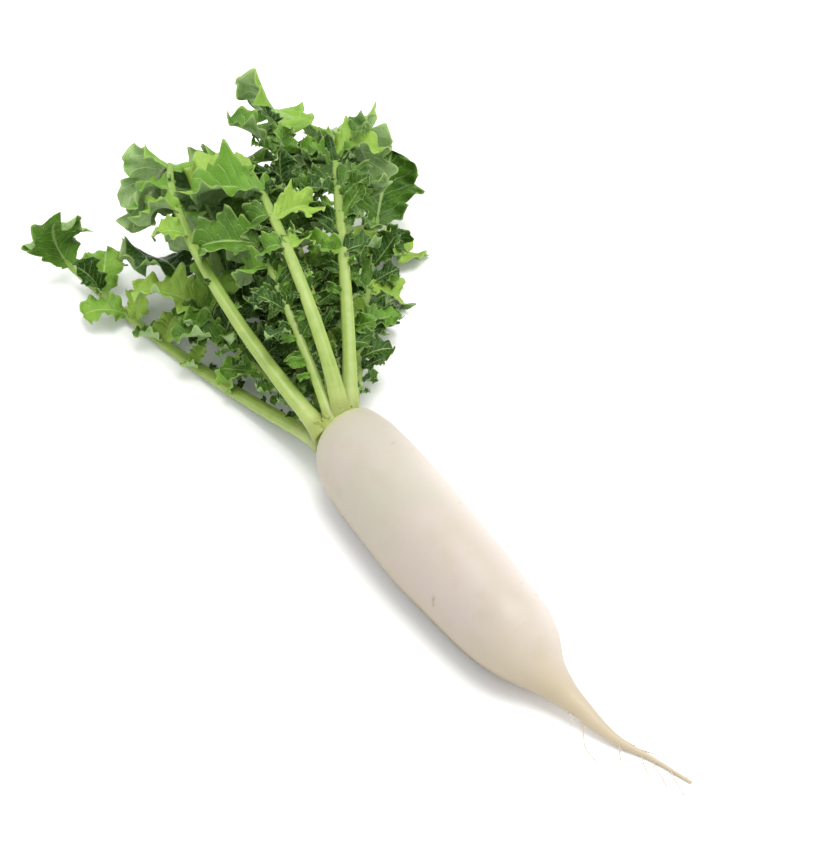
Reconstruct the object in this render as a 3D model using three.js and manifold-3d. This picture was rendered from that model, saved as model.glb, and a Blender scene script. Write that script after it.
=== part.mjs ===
// A daikon radish as it is pulled: a long white taproot lying on its belly, the short green crown at its
// thick end, and the leaves that grow from the crown and fan out behind it.
// Millimetres, +Z up. While it is built, X runs from the crown to the thin end of the root, and the surface
// it lies on is Z = 0. At the end the plant is shifted so that the middle of its footprint is the origin.

import * as THREE from "three";
import { mergeVertices } from "three/addons/utils/BufferGeometryUtils.js";
import Module from "manifold-3d";

const wasm = await Module();
wasm.setup();

// Sizes that every piece shares. Angles are in degrees.
const ROOT_SIDES = 24;
const ROOT_STEPS = 25;
const CROWN_SIDES = 15;
const STALK_SIDES = 6;
const STALK_STEPS = 9;
const SKIN_GAP = 0.3; // left between two pieces that touch or cross
const BLADE = 0.9; // thickness of a leaf blade
const LOWEST = 1.3; // a blade's middle surface lies this far above the surface at its lowest
const PRESS = 7; // a blade that would come lower than this flattens out towards LOWEST
const CORNER = 1.4; // a corner goes out by this much more than the edges beside it
const END_LOBE_AT = 0.97; // share of the midrib at which the end lobe starts

// The root: [distance from the crown, value] pairs, joined smoothly.
const ROOT_RADIUS = smooth([
  [0, 18], [3, 23], [8, 27.4], [17, 31.2], [32, 34.3], [62, 35.8], [105, 36], [150, 34.6], [188, 32],
  [214, 28.6], [232, 22.5], [246, 14.6], [262, 9], [280, 5.8], [298, 3.7], [322, 1.8], [352, 0.9],
]);
const ROOT_BOW = smooth([
  [0, 5], [20, 2], [50, 0], [120, -6], [190, -9], [236, -9], [270, -4], [300, 2], [325, 13], [352, 21],
]);
const ROOT_LIFT = smooth([
  [0, 16], [8, 8.5], [17, 3.6], [40, -2.2], [185, -2.2], [215, 2], [240, 6], [265, 6.5], [290, 3.5],
  [315, 0.6], [352, 0.3],
]);
const ROOT_LENGTH = 352;

// The crown, a short dome seated on the root's thick end, with stubs of stalks that have come off. Its first
// ring lies inside the root, so that the crown follows the root's rounded shoulder all round.
const CROWN_MIDDLE = [3, 38.5]; // Y and Z of its axis
const CROWN_OUTLINE = [[-4, 16.5], [3, 17], [7, 14.5], [11, 10], [14, 4]]; // height above the seat, radius
const CROWN_LUMPS = { count: 5, height: 0.09 };
const STUB = { sunk: 3, top: 0.8, foot: 1.25, sides: 9 }; // top and foot are shares of its radius
const STUBS = [
  { turn: 55, out: 13, length: 11, radius: 3.4, splay: 34 },
  { turn: 250, out: 14, length: 8, radius: 2.8, splay: 48 },
  { turn: 140, out: 13, length: 9, radius: 2.8, splay: 40 },
];

// A stalk's section: heights of its upper and lower half, as shares of its radius, and its lowest point.
// Its radius falls from a swollen base, the clasp, to the share that is left at its tip.
const STALK = {
  upper: 0.68, lower: 0.92, lowest: 0.5, tip: 0.4, taper: 0.85, clasp: 0.15, claspReach: 0.05,
};

// A lobe's outline. neck: its width where it leaves the midrib, as a share of its full width. belly: how
// late it widens. widest: where it has its full width, as a share of its length. tip: the share of its
// length in which it narrows again. toothRise: the share of a tooth on which its edge goes out, before it
// falls back in. point: half width at its point.
const LOBE = { neck: 0.28, belly: 1.3, widest: 0.55, tip: 0.47, toothRise: 0.6, point: 0.8 };

// How side lobes differ: a pair of numbers is the least and the most, and one is drawn for each lobe.
// shift: how far it sits from its even place. sweep: its angle to the midrib at the first pair, which falls
// by sweepLoss to the last. Lengths are shares of the leaf's longest lobe, from first at the first pair, and
// half widths and ruffles are shares of the lobe's own length. A lobe longer than long has three teeth on
// each edge, and the others two.
const SIDE_LOBE = {
  shift: [0, 0.25], sweep: [56, 72], sweepLoss: 18, lift: [-25, 25], first: 0.42, growth: 1.3,
  length: [0.85, 1.15], half: [0.44, 0.56], droop: [0.5, 1.5], fold: [12, 42], twist: [-45, 45],
  ruffle: 0.12, waves: 1.6, notch: 0.3, long: 40,
};
const END_LOBE = { teeth: 3, notch: 0.24, fold: 14, twist: [-35, 35], ruffle: 0.22, waves: 2 };
const PHASES = [0, 6];
const OTHER_EDGE = 1.7; // how far the ruffle of one edge is ahead of the other's

// Each leaf. path: the four control points of its midrib's curve, from inside the crown to where the end
// lobe starts. stalk: radius of the stalk near the crown. pairs: side lobes on each side. from: the share of
// the midrib that is bare. lobe: length of the longest side lobe. lift: how far side lobes rise from the
// leaf's plane. end: length and half width of the end lobe. droop: how far a side lobe bends down along its
// length. endDroop: the same for the end lobe. roll: how far the leaf's upper side is turned about its
// midrib, at the crown and at the end lobe.
const LEAVES = [
  { name: "leaf_low_left", path: [[-4, -9, 32], [-102, -17, 2], [-215, -37, -5], [-316, -54, 20]],
    stalk: 6.6, pairs: 4, from: 0.46, lobe: 42, lift: 55, end: [60, 31], droop: 70, endDroop: -150,
    roll: [10, 0] },
  { name: "leaf_long_left", path: [[-4, -9, 43], [-70, -14, 58], [-200, -18, 112], [-268, 30, 106]],
    stalk: 6.6, pairs: 3, from: 0.68, lobe: 58, lift: 0, end: [70, 34], droop: 110, endDroop: 170,
    roll: [0, 30] },
  { name: "leaf_middle", path: [[-4, -2, 50], [-40, 10, 64], [-95, 14, 112], [-160, 38, 106]],
    stalk: 4, pairs: 4, from: 0.5, lobe: 50, lift: 0, end: [76, 42], droop: 80, endDroop: 120,
    roll: [0, -20] },
  { name: "leaf_high_middle", path: [[-4, 7, 51], [-35, 20, 88], [-120, 34, 152], [-232, 76, 110]],
    stalk: 5.8, pairs: 4, from: 0.5, lobe: 62, lift: 5, end: [84, 46], droop: 90, endDroop: 90,
    roll: [0, 15] },
  { name: "leaf_high_right", path: [[-4, 14, 47], [-50, 52, 90], [-150, 104, 140], [-242, 170, 96]],
    stalk: 5.4, pairs: 5, from: 0.42, lobe: 60, lift: 0, end: [78, 44], droop: 90, endDroop: 110,
    roll: [0, -15] },
  { name: "leaf_low_right", path: [[-4, 13, 32], [-60, 64, 36], [-136, 122, 6], [-202, 182, 24]],
    stalk: 4.8, pairs: 4, from: 0.28, lobe: 58, lift: 20, end: [70, 38], droop: 50, endDroop: -40,
    roll: [0, 20] },
  { name: "leaf_under", path: [[-4, 6, 27], [-60, 24, 12], [-160, 46, 4], [-240, 58, 24]],
    stalk: 4.8, pairs: 5, from: 0.22, lobe: 54, lift: 25, end: [70, 38], droop: 40, endDroop: -60,
    roll: [0, -10] },
  { name: "leaf_under_left", path: [[-4, -2, 27], [-60, 4, 20], [-150, -8, 24], [-216, -2, 46]],
    stalk: 4.2, pairs: 4, from: 0.28, lobe: 50, lift: 20, end: [64, 36], droop: 60, endDroop: 80,
    roll: [0, 10] },
  { name: "leaf_tall", path: [[-8, -1, 41], [-60, 46, 72], [-151, 50, 116], [-252, 124, 116]],
    stalk: 3.8, pairs: 3, from: 0.55, lobe: 54, lift: 10, end: [72, 42], droop: 90, endDroop: 60,
    roll: [0, 45] },
  { name: "leaf_heart", path: [[-6, 12, 38], [-40, 34, 46], [-80, 50, 60], [-112, 70, 80]],
    stalk: 2.6, pairs: 3, from: 0.3, lobe: 32, lift: 20, end: [44, 26], droop: 70, endDroop: 100,
    roll: [0, -20] },
];

// A smooth curve through [x, value] pairs, as a function of x.
function smooth(pairs) {
  const slope = pairs.map((_, i) => {
    const before = pairs[Math.max(i - 1, 0)];
    const after = pairs[Math.min(i + 1, pairs.length - 1)];
    return (after[1] - before[1]) / (after[0] - before[0]);
  });
  return (x) => {
    let i = 0;
    while (i < pairs.length - 2 && x > pairs[i + 1][0]) i++;
    const [x0, y0] = pairs[i];
    const [x1, y1] = pairs[i + 1];
    const step = x1 - x0;
    const t = Math.min(Math.max((x - x0) / step, 0), 1);
    const rise = (y1 - y0) * (3 - 2 * t) * t * t;
    return y0 + rise + step * t * (1 - t) * (slope[i] * (1 - t) - slope[i + 1] * t);
  };
}

// A number from 0 to 1 that looks random but is always the same for the same two whole numbers.
function chance(first, second) {
  const x = Math.sin(first * 127.1 + second * 311.7) * 43758.5453;
  return x - Math.floor(x);
}

const between = ([least, most], draw) => least + (most - least) * draw;

const rad = THREE.MathUtils.degToRad;
const vector = (xyz) => new THREE.Vector3(...xyz);

// A closed geometry as a solid that can be joined and cut.
function solidOf(geometry) {
  const bare = new THREE.BufferGeometry();
  bare.setAttribute("position", geometry.getAttribute("position"));
  if (geometry.index) bare.setIndex(geometry.index);
  const merged = mergeVertices(bare, 1e-3);
  const corners = new Uint32Array(merged.index.array);
  const distinct = [];
  for (let i = 0; i < corners.length; i += 3) {
    const [a, b, c] = corners.subarray(i, i + 3);
    if (a !== b && b !== c && a !== c) distinct.push(a, b, c);
  }
  const make = (triVerts) =>
    new wasm.Manifold(
      new wasm.Mesh({ numProp: 3, vertProperties: merged.attributes.position.array, triVerts }),
    );
  const solid = make(new Uint32Array(distinct));
  return solid.volume() > 0 ? solid : make(new Uint32Array(distinct.reverse()));
}

function solidFrom(points, index) {
  const geometry = new THREE.BufferGeometry();
  const xyz = points.flatMap((point) => point.toArray());
  geometry.setAttribute("position", new THREE.Float32BufferAttribute(xyz, 3));
  geometry.setIndex(index);
  return solidOf(geometry);
}

function meshOf(name, solid, material) {
  const made = solid.getMesh();
  const geometry = new THREE.BufferGeometry();
  geometry.setAttribute("position", new THREE.BufferAttribute(made.vertProperties, 3));
  geometry.setIndex(new THREE.BufferAttribute(made.triVerts, 1));
  geometry.computeVertexNormals();
  const mesh = new THREE.Mesh(geometry, material);
  mesh.name = name;
  return mesh;
}

// The largest single body of a solid: what cutting leaves loose is dropped.
function largest(solid) {
  const bodies = solid.decompose();
  return bodies.reduce((best, body) => (body.volume() > best.volume() ? body : best));
}

// A tube of rings, each a list of points, with a flat cap at either end.
function loft(rings) {
  const sides = rings[0].length;
  const index = [];
  for (let i = 0; i + 1 < rings.length; i++) {
    for (let j = 0; j < sides; j++) {
      const next = (j + 1) % sides;
      const [a, b, c, d] = [i * sides + j, i * sides + next, (i + 1) * sides + next, (i + 1) * sides + j];
      index.push(a, b, c, a, c, d);
    }
  }
  const last = (rings.length - 1) * sides;
  for (let j = 1; j + 1 < sides; j++) {
    index.push(0, j + 1, j, last, last + j, last + j + 1);
  }
  return solidFrom(rings.flat(), index);
}

// How much further out than its radius the root's skin is, at a distance from the crown and a turn about it.
function rootSwell(along, turn) {
  const long = 0.012 * Math.sin(along / 23 + 1) * Math.cos(2 * turn + 0.6);
  const short = 0.008 * Math.sin(along / 12) * Math.cos(3 * turn);
  return 1 + long + short;
}

// The root is turned as a plain body on an upright axis, and its points are then moved to where they lie:
// bowed sideways, lifted off the surface at its thin end, and flat where the belly rests on the surface.
function taproot(grow = 0) {
  const profile = [new THREE.Vector2(0, -grow)];
  for (let i = 0; i <= ROOT_STEPS; i++) {
    const share = i / ROOT_STEPS;
    const along = ROOT_LENGTH * (share < 0.5 ? share * (0.25 + 1.5 * share) : share);
    profile.push(new THREE.Vector2(ROOT_RADIUS(along) + grow, i === 0 ? -grow : along));
  }
  profile.push(new THREE.Vector2(0, ROOT_LENGTH + grow));
  const turned = new THREE.LatheGeometry(profile, ROOT_SIDES);
  const at = turned.getAttribute("position");
  for (let i = 0; i < at.count; i++) {
    const along = at.getY(i);
    const turn = Math.atan2(at.getX(i), at.getZ(i));
    const swell = rootSwell(along, turn);
    const up = ROOT_LIFT(along) + ROOT_RADIUS(along) - at.getZ(i) * swell;
    at.setXYZ(i, along, ROOT_BOW(along) + at.getX(i) * swell, Math.max(up, 0));
  }
  return solidOf(turned);
}

// A point at a height above the crown's foot, out from its axis, at a turn about it.
function onCrown(height, out, turn) {
  const [y, z] = CROWN_MIDDLE;
  return new THREE.Vector3(-SKIN_GAP - height, y + out * Math.cos(turn), z + out * Math.sin(turn));
}

function crown(grow = 0) {
  const rings = CROWN_OUTLINE.map(([height, radius], i) =>
    Array.from({ length: CROWN_SIDES }, (_, j) => {
      const turn = (2 * Math.PI * j) / CROWN_SIDES;
      const lump = 1 + CROWN_LUMPS.height * Math.cos(CROWN_LUMPS.count * turn + i);
      return onCrown(height + (i ? grow : 0), radius * lump + grow, turn);
    }),
  );
  const head = loft(rings).subtract(taproot(SKIN_GAP));
  return STUBS.reduce((whole, stub) => whole.add(stubOf(stub, grow)), largest(head));
}

function stubOf({ turn, out, length, radius, splay }, grow) {
  const [top, base] = [radius * STUB.top + grow, radius * STUB.foot + grow];
  const cone = new THREE.CylinderGeometry(top, base, length + grow, STUB.sides);
  const foot = onCrown(STUB.sunk, out, rad(turn));
  const [y, z] = CROWN_MIDDLE;
  const outward = new THREE.Vector3(0, foot.y - y, foot.z - z).normalize();
  const direction = new THREE.Vector3(-1, 0, 0).applyAxisAngle(
    new THREE.Vector3(-1, 0, 0).cross(outward).normalize(),
    rad(splay),
  );
  cone.translate(0, (length + grow) / 2, 0);
  cone.applyQuaternion(new THREE.Quaternion().setFromUnitVectors(new THREE.Vector3(0, 1, 0), direction));
  cone.translate(foot.x, foot.y, foot.z);
  return solidOf(cone);
}

// Position and frame on a leaf's midrib at a share t of its length: direction, upper side, and the side that
// lies to the left when looking along it from above.
function midrib(leaf, t) {
  const place = leaf.curve.getPointAt(t);
  const forward = leaf.curve.getTangentAt(t);
  const upper = new THREE.Vector3(0, 0, 1).addScaledVector(forward, -forward.z).normalize();
  upper.applyAxisAngle(forward, rad(THREE.MathUtils.lerp(leaf.roll[0], leaf.roll[1], t)));
  const side = new THREE.Vector3().crossVectors(upper, forward);
  return { place, forward, upper, side };
}

// The stalk is widest where it clasps the crown and thins towards the end lobe.
function stalkRadius(leaf, t) {
  const taper = STALK.tip + (1 - STALK.tip) * (1 - t) ** STALK.taper;
  return leaf.stalk * (taper + STALK.clasp * Math.exp(-t / STALK.claspReach));
}

// The stalk with its midrib: nearly round below, flatter above.
function stalk(leaf, grow) {
  const rings = [];
  for (let i = 0; i <= STALK_STEPS; i++) {
    const t = i / STALK_STEPS;
    const { place, upper, side } = midrib(leaf, t);
    const radius = stalkRadius(leaf, t) + grow;
    rings.push(
      Array.from({ length: STALK_SIDES }, (_, j) => {
        const turn = (2 * Math.PI * j) / STALK_SIDES - Math.PI / 2;
        const height = Math.sin(turn) * (Math.sin(turn) > 0 ? STALK.upper : STALK.lower);
        const point = place.clone().addScaledVector(side, Math.cos(turn) * radius);
        point.addScaledVector(upper, height * radius);
        point.z = Math.max(point.z, STALK.lowest);
        return point;
      }),
    );
  }
  return loft(rings);
}

// The half width of a lobe at a share u of its length: narrow where it leaves the midrib, widest past the
// middle, with a notch behind each tooth of its edge.
function halfWidth(lobe, u) {
  const body = u < LOBE.widest
    ? LOBE.neck + (1 - LOBE.neck) * Math.sin((Math.PI / 2) * (u / LOBE.widest)) ** LOBE.belly
    : Math.sqrt(Math.max(1 - ((u - LOBE.widest) / LOBE.tip) ** 2, 0));
  const within = (u * lobe.teeth) % 1;
  const tooth = within < LOBE.toothRise ? within / LOBE.toothRise : (1 - within) / (1 - LOBE.toothRise);
  const edge = u > 0 && u < 1 ? 1 - lobe.notch * (1 - tooth) : 1;
  return Math.max(lobe.half * body * edge, LOBE.point);
}

// A point of a lobe's middle surface. u runs along its vein and v across it, from -1 to 1. The lobe bends
// down along its length, folds up along its vein, twists, and is ruffled at its edges.
function lobePoint(lobe, u, v) {
  const bend = rad(lobe.droop) || 1e-6;
  const { forward, upper, across } = lobe;
  const vein = lobe.place.clone();
  vein.addScaledVector(forward, (lobe.length * Math.sin(bend * u)) / bend);
  vein.addScaledVector(upper, (-lobe.length * (1 - Math.cos(bend * u))) / bend);
  const ahead = forward.clone().multiplyScalar(Math.cos(bend * u));
  ahead.addScaledVector(upper, -Math.sin(bend * u));
  const sideways = across.clone().applyAxisAngle(ahead, rad(lobe.twist) * u);
  const above = new THREE.Vector3().crossVectors(sideways, ahead);
  const width = halfWidth(lobe, u);
  const angle = 2 * Math.PI * lobe.waves * u + lobe.phase + (v > 0 ? OTHER_EDGE : 0);
  const wave = lobe.ruffle * v * v * Math.sin(angle);
  const fold = rad(lobe.fold);
  vein.addScaledVector(sideways, v * width * Math.cos(fold));
  vein.addScaledVector(above, Math.abs(v) * width * Math.sin(fold) + wave * Math.min(1, u * 4));
  vein.z = pressed(vein.z);
  return vein;
}

// Heights below PRESS are flattened smoothly towards LOWEST, as a leaf that lies on a surface is.
function pressed(z) {
  const room = PRESS - LOWEST;
  return z > PRESS ? z : LOWEST + room * Math.exp((z - PRESS) / room);
}

// The lobe as a thin solid: its middle surface in rows at the teeth and notches, thickened to both sides.
// Grow makes it that much thicker on each side and moves its edge out by as much.
function bladeOf(lobe, grow) {
  const { columns } = lobe;
  const rows = [0];
  for (let k = 0; k < lobe.teeth; k++) {
    rows.push((k + LOBE.toothRise) / lobe.teeth, (k + 1) / lobe.teeth);
  }
  const wide = 2 * columns + 1;
  const middle = rows.flatMap((u) =>
    Array.from({ length: wide }, (_, j) => lobePoint(lobe, u, (j - columns) / columns)),
  );
  const faces = [];
  for (let i = 0; i + 1 < rows.length; i++) {
    for (let j = 0; j + 1 < wide; j++) {
      const [a, b, c, d] = [i * wide + j, i * wide + j + 1, (i + 1) * wide + j + 1, (i + 1) * wide + j];
      if (j < columns) faces.push([a, b, c], [a, c, d]);
      else faces.push([a, b, d], [b, c, d]);
    }
  }
  const normals = middle.map(() => new THREE.Vector3());
  for (const [a, b, c] of faces) {
    const ab = middle[b].clone().sub(middle[a]);
    const face = ab.cross(middle[c].clone().sub(middle[a])).normalize();
    for (const corner of [a, b, c]) normals[corner].add(face);
  }
  normals.forEach((normal) => normal.normalize());
  const rim = [];
  for (let j = 0; j < wide; j++) rim.push(j);
  for (let i = 1; i < rows.length; i++) rim.push(i * wide + wide - 1);
  for (let j = wide - 2; j >= 0; j--) rim.push((rows.length - 1) * wide + j);
  for (let i = rows.length - 2; i > 0; i--) rim.push(i * wide);
  const outward = rim.map((a, i) => {
    const along = middle[rim[(i + 1) % rim.length]].clone().sub(middle[rim.at(i - 1)]);
    return along.cross(normals[a]).normalize();
  });
  rim.forEach((a, i) => middle[a].addScaledVector(outward[i], CORNER * grow));
  const half = BLADE / 2 + grow;
  const skin = (sign) => middle.map((p, i) => p.clone().addScaledVector(normals[i], sign * half));
  const points = [...skin(1), ...skin(-1)];
  const under = middle.length;
  const index = faces.flatMap(([a, b, c]) => [a, b, c, under + a, under + c, under + b]);
  rim.forEach((a, i) => {
    const b = rim[(i + 1) % rim.length];
    index.push(a, under + a, under + b, a, under + b, b);
  });
  return solidFrom(points, index);
}

// A side lobe: pair counts from the crown, and hand is -1 or 1.
function sideLobe(leaf, seed, pair, hand) {
  const draw = (n) => chance(seed * 31 + pair * 2 + (hand > 0 ? 1 : 0), n);
  const kind = SIDE_LOBE;
  const share = (pair + between(kind.shift, draw(1))) / leaf.pairs;
  const { place, forward, upper, side } = midrib(leaf, leaf.from + (END_LOBE_AT - leaf.from) * share);
  const sweep = rad(between(kind.sweep, draw(2)) - kind.sweepLoss * share);
  const lift = rad(leaf.lift + between(kind.lift, draw(3)));
  const out = forward.clone().multiplyScalar(Math.cos(sweep));
  out.addScaledVector(side, hand * Math.sin(sweep));
  const axis = new THREE.Vector3().crossVectors(out, upper).normalize();
  out.applyAxisAngle(axis, lift);
  const above = upper.clone().applyAxisAngle(axis, lift);
  const growth = kind.first + (1 - kind.first) * Math.min(1, share * kind.growth);
  const length = leaf.lobe * growth * between(kind.length, draw(4));
  return {
    place, forward: out, upper: above, across: new THREE.Vector3().crossVectors(out, above), length,
    half: length * between(kind.half, draw(5)), droop: leaf.droop * between(kind.droop, draw(6)),
    fold: between(kind.fold, draw(7)), twist: between(kind.twist, draw(8)), phase: between(PHASES, draw(9)),
    ruffle: length * kind.ruffle, waves: kind.waves, notch: kind.notch,
    teeth: length > kind.long ? 3 : 2, columns: 1,
  };
}

function endLobe(leaf, seed) {
  const { place, forward, upper, side } = midrib(leaf, END_LOBE_AT);
  const kind = END_LOBE;
  const [length, half] = leaf.end;
  return {
    place, forward, upper, across: side.clone().negate(), length, half, droop: leaf.endDroop,
    fold: kind.fold, twist: between(kind.twist, chance(seed, 5)), phase: between(PHASES, chance(seed, 6)),
    ruffle: half * kind.ruffle, waves: kind.waves, notch: kind.notch, teeth: kind.teeth, columns: 2,
  };
}

// The side lobes in pairs, longer towards the end, and the end lobe.
function lobesOf(leaf, seed) {
  const lobes = [];
  for (let pair = 0; pair < leaf.pairs; pair++) {
    lobes.push(sideLobe(leaf, seed, pair, -1), sideLobe(leaf, seed, pair, 1));
  }
  lobes.push(endLobe(leaf, seed));
  return lobes;
}

function bladesOf(leaf, seed, grow) {
  const blades = lobesOf(leaf, seed).map((lobe) => bladeOf(lobe, grow));
  return blades.reduce((joined, blade) => joined.add(blade));
}

function cutBy(solid, cutters) {
  return cutters.reduce((left, cutter) => left.subtract(cutter), solid);
}

const materials = {
  root: new THREE.MeshStandardMaterial({ color: "#ebe3d3", roughness: 0.45, metalness: 0 }),
  crown: new THREE.MeshStandardMaterial({ color: "#b9c46a", roughness: 0.5, metalness: 0 }),
  leaf: new THREE.MeshStandardMaterial({ color: "#6f9a3c", roughness: 0.55, metalness: 0 }),
};

const plant = new THREE.Group();
plant.add(meshOf("taproot", taproot(), materials.root));
plant.add(meshOf("crown", crown(), materials.crown));

// The leaves cross behind the crown. A blade is cut clear of every other stalk and of the blades before it,
// and a stalk only of the stalks before it, so that no blade cuts through a stalk. The widened blades are
// joined with less widened ones, because the sharpest tips of a curled blade can stick out of its widest
// copy.
for (const leaf of LEAVES) {
  leaf.curve = new THREE.CubicBezierCurve3(...leaf.path.map(vector));
}
const foot = taproot(SKIN_GAP).add(crown(SKIN_GAP));
const wideStalks = LEAVES.map((leaf) => stalk(leaf, SKIN_GAP));
const wideBlades = LEAVES.map((leaf, i) => {
  const [wide, half, plain] = [SKIN_GAP, SKIN_GAP / 2, 0].map((grow) => bladesOf(leaf, i + 1, grow));
  return wide.add(half).add(plain);
});
LEAVES.forEach((leaf, i) => {
  const otherStalks = wideStalks.filter((_, j) => j !== i);
  const stem = cutBy(stalk(leaf, 0), [foot, ...wideStalks.slice(0, i)]);
  const blades = cutBy(bladesOf(leaf, i + 1, 0), [foot, ...otherStalks, ...wideBlades.slice(0, i)]);
  plant.add(meshOf(leaf.name, largest(stem.add(blades)), materials.leaf));
});

const box = new THREE.Box3().setFromObject(plant);
const middle = box.getCenter(new THREE.Vector3());
plant.position.set(-middle.x, -middle.y, -box.min.z);

export default plant;
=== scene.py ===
import math

import bpy
import numpy as np
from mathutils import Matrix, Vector


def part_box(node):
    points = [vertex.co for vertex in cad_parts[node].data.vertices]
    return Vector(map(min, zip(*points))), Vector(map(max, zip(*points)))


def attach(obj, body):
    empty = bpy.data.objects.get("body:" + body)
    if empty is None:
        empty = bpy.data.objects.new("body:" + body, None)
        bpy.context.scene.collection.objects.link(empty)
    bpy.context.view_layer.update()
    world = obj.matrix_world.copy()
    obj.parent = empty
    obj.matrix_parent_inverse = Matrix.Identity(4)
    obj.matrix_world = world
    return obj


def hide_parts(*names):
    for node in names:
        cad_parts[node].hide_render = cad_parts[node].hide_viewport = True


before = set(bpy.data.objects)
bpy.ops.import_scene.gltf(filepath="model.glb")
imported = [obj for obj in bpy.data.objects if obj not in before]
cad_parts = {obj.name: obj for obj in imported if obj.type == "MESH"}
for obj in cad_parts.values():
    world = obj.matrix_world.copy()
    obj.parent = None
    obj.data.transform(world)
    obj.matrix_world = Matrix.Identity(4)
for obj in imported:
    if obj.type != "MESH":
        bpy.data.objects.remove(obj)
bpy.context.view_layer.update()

# A daikon radish lying on its side. Shapes are worked out in millimetres, with X running from the crown to
# the thin end of the root and the surface at Z = 0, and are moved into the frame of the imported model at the
# end. The root, the crown and the leaves repeat the sizes of the solids, and add what those leave out.

ROOT_LENGTH = 352.0
ROOT_SIDES, ROOT_STEPS = 24, 25  # of the solid
ROOT_RADIUS = [
    (0, 18), (3, 23), (8, 27.4), (17, 31.2), (32, 34.3), (62, 35.8), (105, 36), (150, 34.6), (188, 32),
    (214, 28.6), (232, 22.5), (246, 14.6), (262, 9), (280, 5.8), (298, 3.7), (322, 1.8), (352, 0.9),
]
ROOT_BOW = [
    (0, 5), (20, 2), (50, 0), (120, -6), (190, -9), (236, -9), (270, -4), (300, 2), (325, 13), (352, 21),
]
ROOT_LIFT = [
    (0, 16), (8, 8.5), (17, 3.6), (40, -2.2), (185, -2.2), (215, 2), (240, 6), (265, 6.5), (290, 3.5),
    (315, 0.6), (352, 0.3),
]

CROWN_MIDDLE = (3.0, 38.5)  # Y and Z of its axis
CROWN_OUTLINE = [(-4, 16.5), (3, 17), (7, 14.5), (11, 10), (14, 4)]  # height above its seat, radius
CROWN_SUNK = 9.0  # how far its foot goes into the root
CROWN_LUMPS, CROWN_LUMP_HEIGHT = 5, 0.09

# Stubs of stalks that have come off. Turn, about the crown's axis, and splay are in degrees.
STUBS = [
    {"turn": 55, "out": 13, "length": 11, "radius": 3.4, "splay": 34},
    {"turn": 250, "out": 14, "length": 8, "radius": 2.8, "splay": 48},
    {"turn": 140, "out": 13, "length": 9, "radius": 2.8, "splay": 40},
]
SMALL_STUBS = [  # thinner ones, which the solids leave out
    {"turn": 116, "out": 15.6, "length": 6, "radius": 1.5, "splay": 22},
    {"turn": 128, "out": 14.6, "length": 4.5, "radius": 1.3, "splay": 40},
    {"turn": 146, "out": 15.8, "length": 5.5, "radius": 1.4, "splay": 16},
    {"turn": 78, "out": 18.2, "length": 7, "radius": 1.5, "splay": 10},
    {"turn": 52, "out": 19.0, "length": 6, "radius": 1.4, "splay": 18},
    {"turn": 178, "out": 16.4, "length": 5, "radius": 1.3, "splay": 24},
]

SKIN_GAP = 0.3  # between the root and the crown
LOWEST, PRESS = 1.3, 7.0  # a blade below PRESS is pressed flat, and its middle stays above LOWEST
TOP_LOWEST, UNDER_LOWEST = 0.9, 0.6  # the least Z of a blade's two sides
TIP_HALF_WIDTH = 0.8
VEINS, VEIN_SLANT = 7, 1.9  # side veins of a lobe, and how far they run forward to its edge

# A stalk's half heights are shares of its radius, which falls to the share named tip along the leaf. Clasp
# and sheath are how much wider it is at the crown, with the sheath's reach in millimetres. It starts the
# length named sunk before its curve, and no point of it is past X = stop or under Z = lowest.
STALK = {
    "upper": 0.68, "lower": 0.92, "tip": 0.4, "taper": 0.85, "clasp": 0.15, "clasp_reach": 0.05, "ribs": 9,
    "sheath": 0.35, "sheath_reach": 10, "sunk": 5.0, "stop": 0.5, "lowest": 0.5,
}
COLLAR_AT = 17.0  # how far from its base a stalk has a thin raised collar
COLLARS = {"leaf_low_left": 0.09, "leaf_long_left": 0.03, "leaf_high_middle": 0.04, "leaf_high_right": 0.05}

# A lobe's outline from its neck at 0 to its tip at 1, and its saw teeth.
LOBE = {
    "neck": 0.28, "belly": 1.3, "widest": 0.55, "tip": 0.47,
    "tooth_rise": 0.6, "fine_rise": 0.7, "fine": 0.07,
}

# Pairs of numbers are ranges, angles are in degrees, and lengths are shares of the leaf's lobe length.
SIDE_LOBE = {
    "shift": (0, 0.25), "sweep": (56, 72), "sweep_loss": 18, "lift": (-25, 25), "first": 0.42, "growth": 1.3,
    "length": (0.85, 1.15), "half": (0.44, 0.56), "droop": (0.5, 1.5), "fold": (12, 42), "twist": (-45, 45),
    "ruffle": 0.12, "waves": 1.6, "notch": 0.3, "long": 40,
}
END_LOBE = {"at": 0.97, "teeth": 3, "notch": 0.24, "fold": 14, "twist": (-35, 35), "ruffle": 0.22, "waves": 2}
SMALL_LOBE = {
    "sweep": (30, 100), "rise": (-0.3, 1.1), "length": (0.55, 1.1), "half": (0.34, 0.54), "droop": (-40, 130),
    # the tone range is low: painted shade, darkening the small lobes that sit among the stalks
    "fold": 34, "twist": (-60, 60), "ruffle": 0.17, "waves": 1.9, "notch": 0.36, "tone": (-0.1, 0.6),
}
PHASES = (0, 6)
OTHER_EDGE = 1.7  # how far the waves of one edge are ahead of the other's
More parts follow.
